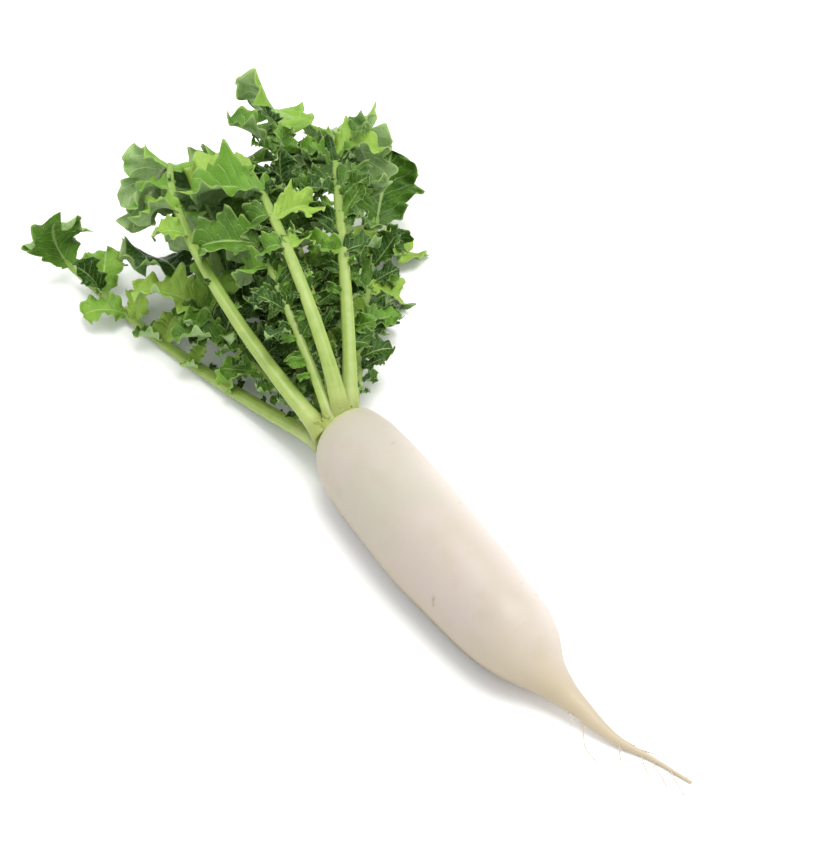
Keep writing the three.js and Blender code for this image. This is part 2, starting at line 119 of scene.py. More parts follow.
LEAVES = [
    {"name": "leaf_low_left", "path": [(-4, -9, 32), (-102, -17, 2), (-215, -37, -5), (-316, -54, 20)],
     "stalk": 6.6, "pairs": 4, "bare": 0.46, "lobe": 42, "lift": 55, "end": (60, 31), "droop": 70,
     "end_droop": -150, "roll": (10, 0)},
    {"name": "leaf_long_left", "path": [(-4, -9, 43), (-70, -14, 58), (-200, -18, 112), (-268, 30, 106)],
     "stalk": 6.6, "pairs": 3, "bare": 0.68, "lobe": 58, "lift": 0, "end": (70, 34), "droop": 110,
     "end_droop": 170, "roll": (0, 30)},
    {"name": "leaf_middle", "path": [(-4, -2, 50), (-40, 10, 64), (-95, 14, 112), (-160, 38, 106)],
     "stalk": 4, "pairs": 4, "bare": 0.5, "lobe": 50, "lift": 0, "end": (76, 42), "droop": 80,
     "end_droop": 120, "roll": (0, -20)},
    {"name": "leaf_high_middle", "path": [(-4, 7, 51), (-35, 20, 88), (-120, 34, 152), (-232, 76, 110)],
     "stalk": 5.8, "pairs": 4, "bare": 0.5, "lobe": 62, "lift": 5, "end": (84, 46), "droop": 90,
     "end_droop": 90, "roll": (0, 15)},
    {"name": "leaf_high_right", "path": [(-4, 14, 47), (-50, 52, 90), (-150, 104, 140), (-242, 170, 96)],
     "stalk": 5.4, "pairs": 5, "bare": 0.42, "lobe": 60, "lift": 0, "end": (78, 44), "droop": 90,
     "end_droop": 110, "roll": (0, -15)},
    {"name": "leaf_low_right", "path": [(-4, 13, 32), (-60, 64, 36), (-136, 122, 6), (-202, 182, 24)],
     "stalk": 4.8, "pairs": 4, "bare": 0.28, "lobe": 58, "lift": 20, "end": (70, 38), "droop": 50,
     "end_droop": -40, "roll": (0, 20)},
    {"name": "leaf_under", "path": [(-4, 6, 27), (-60, 24, 12), (-160, 46, 4), (-240, 58, 24)],
     "stalk": 4.8, "pairs": 5, "bare": 0.22, "lobe": 54, "lift": 25, "end": (70, 38), "droop": 40,
     "end_droop": -60, "roll": (0, -10)},
    {"name": "leaf_under_left", "path": [(-4, -2, 27), (-60, 4, 20), (-150, -8, 24), (-216, -2, 46)],
     "stalk": 4.2, "pairs": 4, "bare": 0.28, "lobe": 50, "lift": 20, "end": (64, 36), "droop": 60,
     "end_droop": 80, "roll": (0, 10)},
    {"name": "leaf_tall", "path": [(-8, -1, 41), (-60, 46, 72), (-151, 50, 116), (-252, 124, 116)],
     "stalk": 3.8, "pairs": 3, "bare": 0.55, "lobe": 54, "lift": 10, "end": (72, 42), "droop": 90,
     "end_droop": 60, "roll": (0, 45)},
    {"name": "leaf_heart", "path": [(-6, 12, 38), (-40, 34, 46), (-80, 50, 60), (-112, 70, 80)],
     "stalk": 2.6, "pairs": 3, "bare": 0.3, "lobe": 32, "lift": 20, "end": (44, 26), "droop": 70,
     "end_droop": 100, "roll": (0, -20)},
]

# The crinkled little lobes along each stalk: how many, the length of the longest, where they start and end,
# and the sides that they grow on.
SMALL_LOBES = {
    "leaf_low_left": (5, 14, 0.16, 0.46, (-1, -1)), "leaf_long_left": (4, 8, 0.3, 0.66, (1, -1)),
    "leaf_middle": (18, 24, 0.2, 0.66, (1, -1)), "leaf_high_middle": (9, 16, 0.34, 0.86, (1, -1)),
    "leaf_high_right": (22, 28, 0.3, 0.9, (1, -1)), "leaf_low_right": (36, 30, 0.12, 0.92, (1, -1)),
    "leaf_under": (40, 32, 0.14, 0.92, (1, -1)), "leaf_under_left": (36, 28, 0.16, 0.9, (1, -1)),
    "leaf_tall": (38, 32, 0.24, 0.94, (1, -1)), "leaf_heart": (42, 30, 0.12, 0.96, (1, -1)),
}

CAMERA_PLACE = (713.3, -461.7, 890.2)
CAMERA_AZIMUTH, CAMERA_ELEVATION = 53.1, 45.0
CAMERA_LENS = 70.0


def smooth(pairs, x):
    """The value at x of a smooth curve through (x, value) pairs."""
    xs, ys = (np.array(row, float) for row in zip(*pairs))
    before = np.maximum(np.arange(len(xs)) - 1, 0)
    after = np.minimum(np.arange(len(xs)) + 1, len(xs) - 1)
    slope = (ys[after] - ys[before]) / (xs[after] - xs[before])
    x = np.asarray(x, float)
    i = np.clip(np.searchsorted(xs, x, side="left") - 1, 0, len(xs) - 2)
    step = xs[i + 1] - xs[i]
    t = np.clip((x - xs[i]) / step, 0, 1)
    rise = (ys[i + 1] - ys[i]) * (3 - 2 * t) * t * t
    return ys[i] + rise + step * t * (1 - t) * (slope[i] * (1 - t) - slope[i + 1] * t)


def chance(first, second):
    """A number from 0 to 1 that looks random but is always the same for the same two whole numbers."""
    x = math.sin(first * 127.1 + second * 311.7) * 43758.5453
    return x - math.floor(x)


def ease(x, low, high):
    """0 below low, 1 above high, and smooth between them. High may be the lower one."""
    t = np.clip((x - low) / (high - low), 0, 1)
    return t * t * (3 - 2 * t)


def grain(points, size, seed=0):
    """Smooth noise from -1 to 1 at points, in lumps of that size in millimetres."""
    p = np.asarray(points, float) / size + seed * 17.37
    cell = np.floor(p).astype(np.int64)
    f = p - cell
    f = f * f * (3 - 2 * f)
    total = np.zeros(p.shape[:-1])
    for dx in (0, 1):
        for dy in (0, 1):
            for dz in (0, 1):
                c = cell + np.array([dx, dy, dz])
                mixed = (c[..., 0] * 73856093) ^ (c[..., 1] * 19349663) ^ (c[..., 2] * 83492791)
                mixed = (mixed ^ (mixed >> 13)) * 1274126177 & 0xFFFFFF
                weight = np.where(dx, f[..., 0], 1 - f[..., 0])
                weight = weight * np.where(dy, f[..., 1], 1 - f[..., 1])
                weight = weight * np.where(dz, f[..., 2], 1 - f[..., 2])
                total += weight * (mixed / 0x7FFFFF - 1)
    return total


def unit(v):
    v = np.asarray(v, float)
    return v / np.linalg.norm(v, axis=-1, keepdims=True)


def turned(v, axis, angle):
    """v turned about a unit axis by an angle in radians."""
    c, s = np.cos(angle), np.sin(angle)
    return v * c + np.cross(axis, v) * s + axis * (v @ axis) * (1 - c)


# The root.

def root_point(along, out, turn):
    """The place of a point of the root: out is its distance from the root's axis before the small swells."""
    swell = 1 + 0.012 * np.sin(along / 23 + 1) * np.cos(2 * turn + 0.6)
    swell = swell + 0.008 * np.sin(along / 12) * np.cos(3 * turn)
    y = smooth(ROOT_BOW, along) + out * np.sin(turn) * swell
    z = smooth(ROOT_LIFT, along) + smooth(ROOT_RADIUS, along) - out * np.cos(turn) * swell
    return np.stack([along, y, np.maximum(z, 0)], -1)


def ring_turns(sides):
    """The angles of the points around a ring."""
    return np.arange(sides) * 2 * np.pi / sides


def root_grid(steps, sides):
    """Distances along the root, closer together near the crown, and angles around it."""
    share = np.linspace(0, 1, steps)
    along = ROOT_LENGTH * np.where(share < 0.5, share * (0.25 + 1.5 * share), share)
    return np.meshgrid(along, ring_turns(sides), indexing="ij")


def solid_root_lowest_y():
    """The least Y of the points of the solid root."""
    along, turn = root_grid(ROOT_STEPS + 1, ROOT_SIDES)
    return root_point(along, smooth(ROOT_RADIUS, along), turn)[..., 1].min()


# What takes the millimetres above, with X = 0 at the root's crown end, to the frame.
root_low = np.array(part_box("taproot")[0]) * 1000
SHIFT = np.array([root_low[0], root_low[1] - solid_root_lowest_y(), 0.0])


def placed(points):
    return (np.asarray(points, float) + SHIFT) / 1000


def add_object(name, data):
    made = bpy.data.objects.new(name, data)
    bpy.context.scene.collection.objects.link(made)
    return made


def add_mesh(name, points, faces, material, node, marks, uv=None):
    """A piece of the plant from points in millimetres. marks are named numbers, one for each point, and uv a
    pair for each point."""
    mesh = bpy.data.meshes.new(name)
    mesh.from_pydata(placed(points).tolist(), [], faces)
    mesh.polygons.foreach_set("use_smooth", [True] * len(mesh.polygons))
    for mark, values in marks.items():
        attribute = mesh.attributes.new(mark, "FLOAT", "POINT")
        attribute.data.foreach_set("value", np.asarray(values, np.float32).ravel())
    if uv is not None:
        layer = mesh.uv_layers.new(name="blade")
        corner = np.zeros(len(mesh.loops), np.int32)
        mesh.loops.foreach_get("vertex_index", corner)
        layer.data.foreach_set("uv", np.asarray(uv, np.float32)[corner].ravel())
    mesh.materials.append(material)
    mesh.update()
    piece = add_object(name, mesh)
    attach(piece, "root")
    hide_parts(node)
    return piece


def grid_faces(rows, columns, start=0, closed=False, flip=False):
    """Quads between the points of a grid. Closed joins its last column to its first."""
    i, j = np.meshgrid(np.arange(rows - 1), np.arange(columns if closed else columns - 1), indexing="ij")
    near, far = i.ravel() * columns + start, (i.ravel() + 1) * columns + start
    j = j.ravel()
    k = (j + 1) % columns
    quads = np.stack([near + j, near + k, far + k, far + j], -1)
    return quads[:, ::-1] if flip else quads


def closed_tube(rings, tip, flip=True):
    """The points and faces of a tube: its rings, then its tip and the middle of its first ring, with a fan of
    triangles to each."""
    rings = np.asarray(rings)
    count, sides = rings.shape[:2]
    faces = grid_faces(count, sides, closed=True, flip=flip).tolist()
    last, end = (count - 1) * sides, count * sides
    for j in range(sides):
        near, far = ((j + 1) % sides, j) if flip else (j, (j + 1) % sides)
        faces.append([end, last + near, last + far])
        faces.append([end + 1, far, near])
    return np.vstack([rings.reshape(-1, 3), [tip, rings[0].mean(0)]]), faces


def tube_mark(values):
    """A mark's numbers for the points of a closed tube, from those of its rings."""
    return np.append(values, [values[-1].mean(), values[0].mean()])


# Materials. A Value wraps a socket, so that an expression on values adds the nodes that it needs.

SHADE = 0.78  # all colours are this much darker, and the studio that much brighter


def paint(code):
    """A colour from its hexadecimal code, as the linear numbers that a material takes."""
    parts = [int(code[i:i + 2], 16) / 255 for i in (1, 3, 5)]
    linear = [p / 12.92 if p <= 0.04045 else ((p + 0.055) / 1.055) ** 2.4 for p in parts]
    return tuple(SHADE * p for p in linear) + (1.0,)


class Value:
    def __init__(self, finish, socket):
        self.finish, self.socket = finish, socket

    def math(self, operation, *others):
        return self.finish.node("ShaderNodeMath", {"operation": operation}, [self, *others])

    def __add__(self, other):
        return self.math("ADD", other)

    def __sub__(self, other):
        return self.math("SUBTRACT", other)

    def __rsub__(self, other):
        return self.finish.node("ShaderNodeMath", {"operation": "SUBTRACT"}, [other, self])

    def __mul__(self, other):
        return self.math("MULTIPLY", other)

    def __abs__(self):
        return self.math("ABSOLUTE")

    __radd__, __rmul__ = __add__, __mul__

    def ramp(self, low, high):
        """0 below low, 1 above high, smooth between. High may be the lower one."""
        settings = {"interpolation_type": "SMOOTHSTEP", "clamp": True}
        if low < high:
            inputs = {"Value": self, "From Min": low, "From Max": high}
            return self.finish.node("ShaderNodeMapRange", settings, inputs)
        return 1 - self.ramp(high, low)


class Finish:
    """A material with one principled shader. scatter is the subsurface's weight, scale and radius."""

    def __init__(self, name, scatter=(), **constants):
        self.material = bpy.data.materials.new(name)
        self.material.use_nodes = True
        self.tree = self.material.node_tree
        self.shader = self.tree.nodes["Principled BSDF"]
        for key, value in zip(("Weight", "Scale", "Radius"), scatter):
            self.shader.inputs["Subsurface " + key].default_value = value
        for key, value in constants.items():
            self.shader.inputs[key.replace("_", " ")].default_value = value

    def node(self, kind, settings=None, inputs=None, out=0):
        made = self.tree.nodes.new(kind)
        for key, value in (settings or {}).items():
            setattr(made, key, value)
        pairs = inputs.items() if isinstance(inputs, dict) else enumerate(inputs or [])
        for key, value in pairs:
            if isinstance(value, Value):
                self.tree.links.new(value.socket, made.inputs[key])
            elif value is not None:
                made.inputs[key].default_value = value
        return Value(self, made.outputs[out])

    def place(self, scale=(1, 1, 1), offset=(0, 0, 0)):
        """Object coordinates, in metres, stretched by scale."""
        inputs = {"Vector": self.node("ShaderNodeTexCoord", out="Object"), "Scale": scale, "Location": offset}
        return self.node("ShaderNodeMapping", None, inputs)

    def noise(self, scale, detail, stretch=(1, 1, 1), offset=(0, 0, 0), rough=0.5):
        inputs = {"Vector": self.place(stretch, offset), "Scale": scale, "Detail": detail, "Roughness": rough}
        return self.node("ShaderNodeTexNoise", None, inputs, "Fac")

    def mark(self, name):
        return self.node("ShaderNodeAttribute", {"attribute_name": name}, out="Fac")

    def mix(self, first, second, share):
        """One colour turned into another by a share."""
        made = self.tree.nodes.new("ShaderNodeMix")
        made.data_type = "RGBA"
        for socket, value in ((made.inputs[6], first), (made.inputs[7], second), (made.inputs[0], share)):
            if isinstance(value, Value):
                self.tree.links.new(value.socket, socket)
            else:
                socket.default_value = value
        return Value(self, made.outputs[2])

    def coats(self, first, *layers):
        """A colour with others laid over it in turn, each by its share."""
        skin = paint(first)
        for code, share in layers:
            skin = self.mix(skin, paint(code), share)
        return skin

    def feed(self, **values):
        for key, value in values.items():
            self.tree.links.new(value.socket, self.shader.inputs[key.replace("_", " ")])

    def bump(self, height, distance, strength):
        inputs = {"Height": height, "Distance": distance, "Strength": strength}
        self.feed(Normal=self.node("ShaderNodeBump", None, inputs, "Normal"))


def root_finish():
    f = Finish("radish_skin", (0.1, 0.004, (1.0, 0.85, 0.7)))
    broad = f.noise(17, 2.0)
    green = f.noise(13, 2.0, offset=(0.6, 0.2, 0.9))
    cloud = f.noise(48, 4.0, offset=(0.3, 0.1, 0.7))
    across = f.noise(90, 5.0, stretch=(3.2, 0.35, 0.35), rough=0.6)
    dash = f.noise(150, 2.0, stretch=(4.5, 0.4, 0.4), offset=(0.9, 0.2, 0.4)).ramp(0.66, 0.74)
    fleck = f.noise(420, 1.0, offset=(0.5, 0.5, 0.1)).ramp(0.73, 0.79)
    skin = f.coats(
        "#bbb1a0",
        ("#bfb3a9", broad.ramp(0.36, 0.62)),
        ("#b5b1a0", green.ramp(0.46, 0.66) * 0.75),
        ("#b5aa93", cloud.ramp(0.5, 0.75) * 0.4),
        ("#b6a888", across.ramp(0.55, 0.78) * 0.22),
        ("#a8997c", dash * f.mark("rows") * 0.5),
        ("#b09868", fleck * f.mark("tail").ramp(0.0, 0.6) * 0.5),
        ("#e3d5b4", f.mark("tail") * 0.85),
        ("#f0e6d0", f.mark("tail").ramp(0.6, 1.0) * 0.6),
        # painted highlight: paler along the root's upper right side
        ("#dad0c6", f.mark("painted_highlight") * 0.9),
        ("#c0c57a", f.mark("shoulder")),
        # painted shade: darker beige towards the root's lower side
        ("#ae9d7c", f.mark("low") * 0.68),
        # painted shade: a dark band along the underside where the root meets the surface
        ("#6a5d3e", f.mark("foot") * 0.9),
        ("#8b7c62", f.mark("scar") * 0.8),
    )
    f.feed(Base_Color=skin, Roughness=0.42 + across * 0.12 + f.mark("scar") * 0.2)
    height = across * 0.5 + f.noise(700, 3.0) * 0.12 + cloud * 0.4
    f.bump(height, 0.0004, 0.4)
    return f.material


def crown_finish():
    f = Finish("crown_skin", (0.1, 0.002, (0.8, 1.0, 0.3)))
    mottle = f.noise(140, 4.0)
    ring = f.noise(260, 3.0, stretch=(2.5, 0.7, 0.7))
    skin = f.coats(
        "#a3b052",
        ("#8f9f42", mottle.ramp(0.4, 0.65)),
        ("#bcc274", ring.ramp(0.5, 0.7) * 0.5),
        ("#8f8540", f.noise(330, 3.0, offset=(0.2, 0.8, 0.1)).ramp(0.62, 0.75) * 0.4),
        ("#b5a860", f.mark("cut") * 0.8),
    )
    f.feed(Base_Color=skin, Roughness=0.45 + mottle * 0.15)
    f.bump(ring + mottle * 0.5, 0.0006, 0.5)
    return f.material


def stalk_finish():
    f = Finish("leaf_stalk", (0.12, 0.002, (0.6, 1.0, 0.25)))
    rib = f.mark("rib")
    mottle = f.noise(120, 4.0)
    skin = f.coats(
        "#9cb254",
        ("#8ba645", mottle.ramp(0.35, 0.7)),
        ("#abc169", rib * 0.35),
        ("#83a648", f.mark("groove") * 0.4),
        ("#b3c072", f.mark("base") * 0.7),
        ("#7aa040", f.mark("far") * 0.5),
        ("#5d8433", f.noise(600, 2.0).ramp(0.68, 0.78) * 0.25),
        # painted shade: darker along the stalk's lower side
        ("#5a8230", f.mark("belly") * 0.6),
        # painted shade where the stalk meets the crown and just past its collar
        ("#87903c", f.mark("joint") * 0.6),
    )
    f.feed(Base_Color=skin, Roughness=0.34 + mottle * 0.14)
    f.bump(rib * 0.6 + f.noise(900, 2.0) * 0.3, 0.0003, 0.4)
    return f.material


def blade_finish():
    f = Finish("leaf_blade", (0.12, 0.0015, (0.6, 1.0, 0.2)), Specular_IOR_Level=0.22)
    flat = f.node("ShaderNodeUVMap", {"uv_map": "blade"})
    u = f.node("ShaderNodeSeparateXYZ", None, [flat])
    across = Value(f, u.socket.node.outputs[1])
    v = abs(across - 0.5) * 2
    net = f.node("ShaderNodeTexVoronoi", {"feature": "DISTANCE_TO_EDGE"},
                 {"Vector": f.place(), "Scale": 300.0}, "Distance").ramp(0.09, 0.02)
    wander = f.noise(60, 2.0) * 0.12
    stripe = abs((u * VEINS - v * VEIN_SLANT + wander).math("FRACT") - 0.5) * 2
    side_vein = stripe.ramp(0.9, 0.985) * v.ramp(1.0, 0.55)
    middle_vein = v.ramp(0.075, 0.02)
    vein = side_vein.math("MAXIMUM", middle_vein)
    tone, under = f.mark("tone"), f.mark("under")
    patch = f.noise(70, 3.0)
    top = f.coats(
        "#1d440a",
        ("#6ea02e", (tone * 0.8 + patch * 0.45).ramp(0.2, 0.85)),
        ("#a3c350", (tone + patch * 0.4).ramp(0.8, 1.15) * 0.8),
        ("#84ac42", net * 0.22),
        ("#b4cf80", vein * 0.7),
    )
    bottom = f.coats(
        "#84aa5e",
        ("#a2c07d", patch.ramp(0.35, 0.65)),
        ("#bdd3a4", net * 0.3),
        ("#d2e0b6", vein * 0.8),
    )
    skin = f.mix(top, bottom, under)
    skin = f.mix(skin, paint("#b2c67c"), v.ramp(0.9, 1.0) * 0.5)
    f.feed(Base_Color=skin, Roughness=0.4 + under * 0.18 + patch * 0.1)
    f.bump(vein * (under * 2 - 1) * 0.8 - net * 0.35 + f.noise(500, 2.0) * 0.2, 0.0006, 0.6)
    return f.material


def hair_finish():
    f = Finish("root_hair", (0.1, 0.001), Roughness=0.6)
    f.feed(Base_Color=f.coats("#ddd4c0", ("#c8bb9c", f.noise(160, 2.0).ramp(0.35, 0.65))))
    return f.material


def bristle_finish():
    f = Finish("leaf_bristle", Roughness=0.5)
    f.feed(Base_Color=f.coats("#c9d8a0", ("#e2e8c8", f.noise(200, 1.0).ramp(0.4, 0.6))))
    return f.material


HIGHLIGHT_TURN, HIGHLIGHT_WIDTH = 128, 38  # in degrees: where the painted highlight on the root's upper right side lies, and how wide it is
SCAR_ROWS = (138.0, 318.0)  # the turns of the two rows of scars

# Scars are short slits across the root where side roots were: distance from the crown, turn in degrees,
# width across the root, depth.
scars = [(167.0, 251.0, 8.0, 0.4), (55.0, 163.0, 5.0, 0.16)]
for row, turn in enumerate(SCAR_ROWS):
    for n in range(17):
        along = 18 + 15 * n + 10 * (chance(row + 3, n) - 0.5)
        side = turn + 30 * (chance(row + 9, n) - 0.5)
        scars.append((along, side, 2 + 5 * chance(row + 17, n), 0.04 + 0.14 * chance(row + 23, n) ** 2))


def turn_from(turn, degrees):
    """How far each turn is from one in degrees, from -pi to pi."""
    return (turn - math.radians(degrees) + np.pi) % (2 * np.pi) - np.pi


def make_root(material):
    along, turn = root_grid(420, 176)
    radius = smooth(ROOT_RADIUS, along)
    rough = root_point(along, radius, turn)
    thin = np.clip(radius / 12, 0.05, 1)
    relief = 0.30 * grain(rough, 34, 1) + 0.14 * grain(rough, 13, 2) + 0.05 * grain(rough, 4, 3)
    relief = relief + 0.9 * grain(rough, 11, 5) * ease(along, 240, 285)
    squeezed = rough * np.array([1.0, 0.16, 0.16])
    wrinkle = grain(squeezed, 1.6, 4) * (0.03 + 0.07 * ease(along, 190, 235) + 0.05 * ease(along, 26, 6))
    out = radius + (relief + wrinkle) * thin
    scar = np.zeros_like(along)
    rows = np.zeros_like(along)
    for at, degrees, wide, deep in scars:
        sideways = turn_from(turn, degrees) * radius
        slant = along - at - 0.3 * sideways
        shape = np.exp(-((slant / 0.8) ** 2) - (sideways / (wide / 2)) ** 4)
        lip = np.exp(-(((np.abs(slant) - 1.6) / 0.8) ** 2) - (sideways / (wide / 2)) ** 4)
        out = out - (deep * shape - 0.3 * deep * lip) * thin
        scar = np.maximum(scar, shape * min(1.0, deep * 2.0))
    for degrees in SCAR_ROWS:
        rows = np.maximum(rows, np.exp(-((turn_from(turn, degrees) / 0.55) ** 2)))
    points = root_point(along, out, turn)
    # Painted highlight: a paler band along the root's upper right side, away from the crown.
    painted_highlight = np.exp(-(((turn - math.radians(HIGHLIGHT_TURN)) / math.radians(HIGHLIGHT_WIDTH)) ** 2))
    # Painted shade: a dark band along the underside near the surface, strongest on the -Y side.
    foot = ease(points[..., 2], 27, 16) * ease(along, 250, 205) * ease(along, 4, 20)
    marks = {
        "scar": scar,
        "rows": 0.15 + 0.85 * rows,
        "tail": ease(along, 185, 300) ** 1.4,
        "shoulder": ease(along, 6, 1) * 0.4 + ease(along, 14, 4) * 0.4 + ease(along, 30, 8) * 0.1,
        # painted shade: darker towards the bottom of the root
        "low": ease(points[..., 2], 52, 10),
        "painted_highlight": painted_highlight * ease(along, 15, 95),
        "foot": foot * (0.3 + 0.7 * ease(np.sin(turn), 0.0, -0.6)),
    }
    marks = {name: tube_mark(values) for name, values in marks.items()}
    flat, faces = closed_tube(points, points[-1].mean(0) + [0.6, 0.3, 0])
    add_mesh("radish_root", flat, faces, material, "taproot", marks)


# The crown.

def on_crown(height, out, turn):
    y, z = CROWN_MIDDLE
    x = -SKIN_GAP - height + 0 * turn
    return np.stack(np.broadcast_arrays(x, y + out * np.cos(turn), z + out * np.sin(turn)), -1)


def make_crown(material):
    rings, sides = 60, 120
    share = np.linspace(0, 1, rings)
    heights = np.array([h for h, _ in CROWN_OUTLINE], float)
    radii = np.array([r for _, r in CROWN_OUTLINE], float)
    height = -CROWN_SUNK + (heights[-1] + CROWN_SUNK) * share ** 0.8
    radius = np.interp(height, heights, radii)
    radius = np.convolve(np.pad(radius, 2, mode="edge"), np.ones(5) / 5, "valid")
    index = np.interp(height, heights, np.arange(len(heights)))
    turn = ring_turns(sides)
    lump = 1 + CROWN_LUMP_HEIGHT * np.cos(CROWN_LUMPS * turn[None] + index[:, None])
    ridges = 0.35 * np.sin(height[:, None] * 2.6 + 0.8 * np.sin(3 * turn[None]))
    out = radius[:, None] * lump + ridges
    points = on_crown(height[:, None] + 0 * out, out, turn[None] + 0 * out)
    points = points + unit(points - np.array([-2.0, *CROWN_MIDDLE])) * 0.35 * grain(points, 2.6, 6)[..., None]
    flat, faces = closed_tube(points, points[-1].mean(0) - [0.4, 0, 0], flip=False)
    cut = [np.zeros(len(flat))]
    for stub in STUBS + SMALL_STUBS:
        more, stub_faces, stub_cut = stub_mesh(stub)
        faces += [[v + len(flat) for v in face] for face in stub_faces]
        flat = np.vstack([flat, more])
        cut.append(stub_cut)
    add_mesh("crown_head", flat, faces, material, "crown", {"cut": np.concatenate(cut)})


def stub_mesh(stub):
    """A stalk's stub: a ribbed cone with a hollowed, dried end."""
    foot = on_crown(3, stub["out"], math.radians(stub["turn"]))
    outward = unit([0, foot[1] - CROWN_MIDDLE[0], foot[2] - CROWN_MIDDLE[1]])
    ahead = np.array([-1.0, 0, 0])
    direction = turned(ahead, unit(np.cross(ahead, outward)), math.radians(stub["splay"]))
    first = unit(np.cross(direction, [0, 0, 1]))
    second = np.cross(direction, first)
    turn = ring_turns(36)
    spokes = first * np.cos(turn)[:, None] + second * np.sin(turn)[:, None]
    rings, cut = [], []
    outline = [(0, 1.25), (0.25, 1.14), (0.5, 1.03), (0.75, 0.92), (0.92, 0.84), (0.98, 0.8), (1.0, 0.72)]
    outline += [(0.97, 0.5), (0.93, 0.25), (0.92, 0.05)]
    for step, (at, wide) in enumerate(outline):
        rib = 1 + 0.05 * np.cos(7 * turn + stub["turn"]) * (step < 7)
        ragged = 0.35 * np.cos(5 * turn + stub["turn"]) * (0 < step) * (step > 4)
        ring = foot + direction * (stub["length"] * at + ragged)[:, None]
        rings.append(ring + spokes * (stub["radius"] * wide * rib)[:, None])
        cut.append(np.full(len(turn), float(step > 5)))
    flat, faces = closed_tube(rings, rings[-1].mean(0))
    return flat, faces, tube_mark(cut)


# The leaves.

class Midrib:
    """The curve that a leaf's stalk follows, by the share t of its length."""

    def __init__(self, leaf):
        self.control = np.array(leaf["path"], float)
        self.roll = leaf["roll"]
        self.table = np.linspace(0, 1, 201)
        spots = self.at(self.table)
        run = np.concatenate([[0], np.cumsum(np.linalg.norm(np.diff(spots, axis=0), axis=1))])
        self.length, self.shares = run[-1], run / run[-1]

    def at(self, s):
        s = np.asarray(s, float)[..., None]
        a, b, c, d = self.control
        return (1 - s) ** 3 * a + 3 * (1 - s) ** 2 * s * b + 3 * (1 - s) * s * s * c + s ** 3 * d

    def slope(self, s):
        s = np.asarray(s, float)[..., None]
        a, b, c, d = self.control
        return unit((1 - s) ** 2 * (b - a) + 2 * (1 - s) * s * (c - b) + s * s * (d - c))

    def frame(self, t):
        """Place, direction, upper side and left side at t."""
        s = float(np.interp(t, self.shares, self.table))
        place, forward = self.at(s), self.slope(s)
        upper = unit(np.array([0, 0, 1.0]) - forward * forward[2])
        upper = turned(upper, forward, math.radians(self.roll[0] + (self.roll[1] - self.roll[0]) * t))
        return place, forward, upper, np.cross(upper, forward)


def stalk_radius(leaf, t):
    taper = STALK["tip"] + (1 - STALK["tip"]) * (1 - t) ** STALK["taper"]
    return leaf["stalk"] * (taper + STALK["clasp"] * math.exp(-t / STALK["clasp_reach"]))


def stalk_mesh(leaf, midrib, seed):
    """The stalk: ribbed along its length, with a groove on its upper side that closes towards the crown."""
    sides = 40
    turn = ring_turns(sides) - np.pi / 2
    shares = np.linspace(0, 1, 120)
    shares = np.concatenate([np.linspace(-STALK["sunk"] / midrib.length, 0, 5)[:-1], shares])
    collar = COLLARS.get(leaf["name"], 0)
    rings, marks = [], {}
    for share in shares:
        t = max(share, 0)
        place, forward, upper, side = midrib.frame(t)
        place = place + forward * (share - t) * midrib.length
        past_collar = t * midrib.length - COLLAR_AT
        radius = stalk_radius(leaf, t)
        height = np.sin(turn) * np.where(np.sin(turn) > 0, STALK["upper"], STALK["lower"])
        rib = np.cos(STALK["ribs"] * turn + seed) * 0.5 + 0.5
        groove = np.exp(-(((turn - np.pi / 2) / 0.5) ** 2)) * ease(t, 0.1, 0.6)
        reach = radius * (1 + 0.022 * (rib - 0.5) - 0.12 * groove)
        reach = reach * (1 + 0.014 * math.sin(t * 37 + seed) + 0.008 * math.sin(t * 91 + 2 * seed))
        reach = reach * (1 + STALK["sheath"] * math.exp(-t * midrib.length / STALK["sheath_reach"]))
        reach = reach * (1 + collar * math.exp(-((past_collar / 1.5) ** 2)))
        ring = place + side * (np.cos(turn) * reach)[:, None] + upper * (height * reach)[:, None]
        ring[:, 2] = np.maximum(ring[:, 2], STALK["lowest"])
        ring[:, 0] = np.minimum(ring[:, 0], STALK["stop"])
        rings.append(ring)
        # Painted shade just past the collar, and, below, where the stalk meets the crown.
        collar_shade = 8 * collar * math.exp(-(((past_collar - 2.6) / 1.0) ** 2))
        drawn = {
            "rib": rib, "groove": groove, "base": ease(t, 0.16, 0.0), "far": ease(t, 0.4, 0.95),
            "joint": ease(t * midrib.length, 15, 5) + collar_shade,
            # painted shade: darker where the ring faces down
            "belly": ease(np.sin(turn) * upper[2] - np.cos(turn) * abs(side[2]), -0.35, -0.85),
        }
        for name, values in drawn.items():
            marks.setdefault(name, []).append(np.broadcast_to(values, sides))
    marks = {name: tube_mark(values) for name, values in marks.items()}
    return *closed_tube(rings, place + forward * 0.5), marks


def saw(x, rise):
    """A saw tooth from 0 to 1 and back on each unit of x. rise is the share of it that goes up."""
    within = x % 1
    return np.where(within < rise, within / rise, (1 - within) / (1 - rise))


def half_width(lobe, u):
    """Half the width of a lobe at a share u of its length, with its teeth and their finer teeth."""
    neck, widest = LOBE["neck"], LOBE["widest"]
    swell = neck + (1 - neck) * np.sin(np.pi / 2 * np.minimum(u / widest, 1)) ** LOBE["belly"]
    close = np.sqrt(np.maximum(1 - ((u - widest) / LOBE["tip"]) ** 2, 0))
    body = np.where(u < widest, swell, close)
    tooth = np.where(u > 0.985, 1, saw(u * lobe["teeth"], LOBE["tooth_rise"]))
    fine = saw(u * lobe["teeth"] * 3, LOBE["fine_rise"])
    edge = 1 - lobe["notch"] * (1 - tooth ** 0.8) - LOBE["fine"] * (1 - fine)
    edge = np.where(u < 0.03, 1, edge)
    tip = np.sqrt(np.maximum(1 - (np.maximum(u - 0.93, 0) / 0.07) ** 2, 0))
    return np.maximum(lobe["half"] * body * edge * tip, TIP_HALF_WIDTH * 0.35)


def pressed(z):
    room = PRESS - LOWEST
    return np.where(z > PRESS, z, LOWEST + room * np.exp((np.minimum(z, PRESS) - PRESS) / room))


